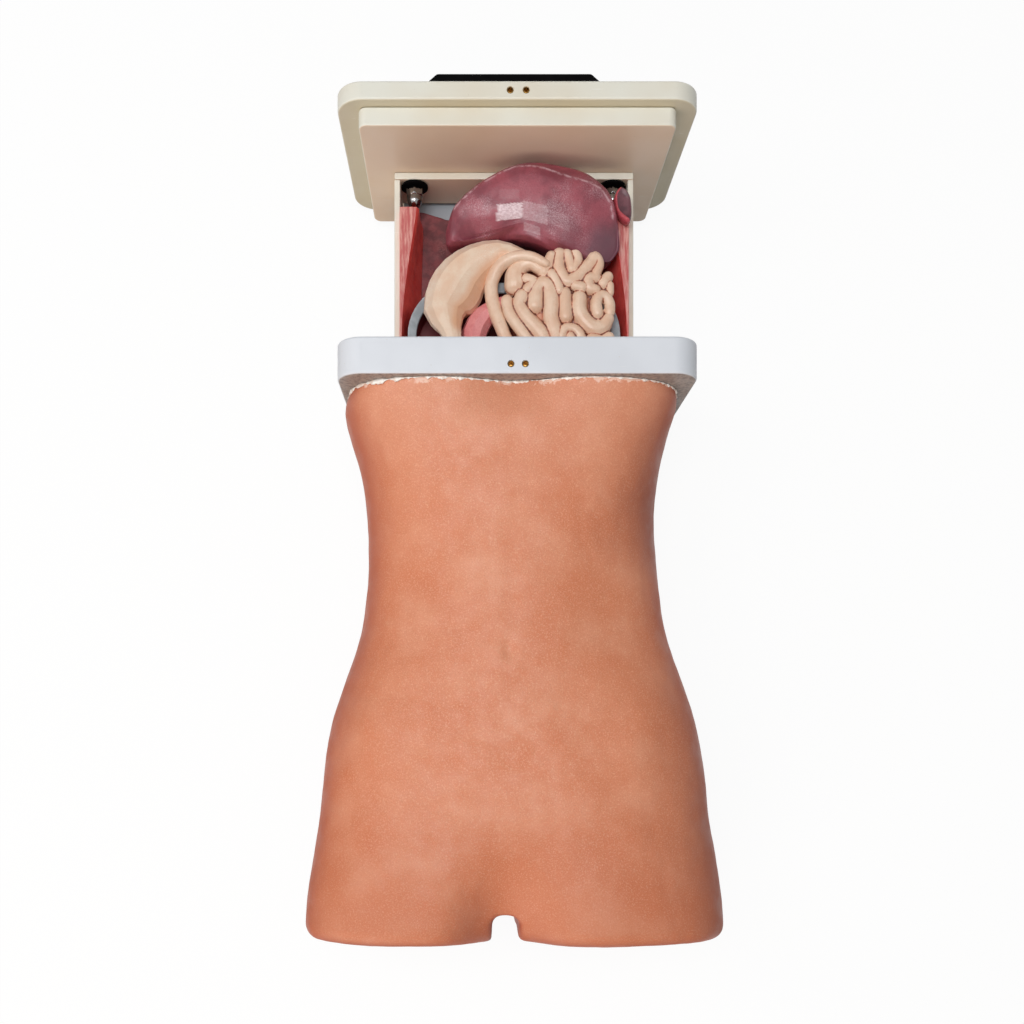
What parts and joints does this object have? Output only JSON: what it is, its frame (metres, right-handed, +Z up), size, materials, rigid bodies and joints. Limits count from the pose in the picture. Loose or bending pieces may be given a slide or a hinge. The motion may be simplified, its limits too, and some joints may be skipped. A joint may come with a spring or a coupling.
{
  "type": "child torso training manikin",
  "caption": "Hollow soft torso lying on its back, with a rigid flange at the head end and a pull-out tray of model organs with a handle.",
  "frame": {"origin": "centre of the bounding box's underside, on the plane that the back lies on, with the drawer pulled out as in the picture", "axes": "+Z up, towards the front of the body; +Y along the body towards the thighs; +X towards the manikin's right-hand side; the drawer opens towards -Y"},
  "size_m": [0.264, 0.5462, 0.126],
  "materials": {
    "skin_vinyl": "soft satin vinyl, finely grained",
    "white_plastic": "satin",
    "cream_plastic": "satin",
    "grey_plastic": "satin",
    "board_plastic": "matt",
    "black_plastic": "finely textured",
    "black_rubber": "matt",
    "chrome_steel": "polished",
    "brass": "turned",
    "muscle_red": "painted, satin",
    "liver_purple": "painted, satin gloss",
    "stomach_cream": "painted, satin gloss",
    "pancreas_pink": "painted, satin gloss",
    "gut_pink": "painted, satin gloss"
  },
  "bodies": {
    "torso": {"torso_skin": "skin_vinyl", "flange_ring": "white_plastic", "skin_collar": "white_plastic", "back_board": "board_plastic", "bulkhead": "board_plastic", "guide_rail_right": "cream_plastic", "guide_rail_left": "cream_plastic", "bumper_right": "black_rubber", "bumper_left": "black_rubber", "flange_insert_right": "brass", "flange_insert_left": "brass", "flange_screw_1": "chrome_steel", "flange_screw_2": "chrome_steel", "flange_screw_3": "chrome_steel", "flange_screw_4": "chrome_steel"},
    "drawer": {"end_plate": "cream_plastic", "plug_plate": "cream_plastic", "pull_handle": "black_plastic", "tray_head_plate": "cream_plastic", "tray_back_panel": "grey_plastic", "tray_foot_plate": "cream_plastic", "tray_side_right": "cream_plastic", "tray_side_left": "cream_plastic", "muscle_bed": "muscle_red", "muscle_wall_right": "muscle_red", "muscle_wall_left": "muscle_red", "organ_basin": "grey_plastic", "liver": "liver_purple", "stomach": "stomach_cream", "pancreas": "pancreas_pink", "spleen": "muscle_red", "small_intestine": "gut_pink", "outer_gut_loop": "gut_pink", "handle_bolt_right": "chrome_steel", "handle_bolt_left": "chrome_steel", "washer_right": "black_rubber", "washer_left": "black_rubber", "cap_nut_right": "chrome_steel", "cap_nut_left": "chrome_steel", "plate_insert_right": "brass", "plate_insert_left": "brass"}
  },
  "joints": [
    {"name": "drawer_slide", "type": "slide", "parent": "torso", "child": "drawer", "axis": [0, -1, 0], "range_m": [-0.137, 0.045]}
  ]
}
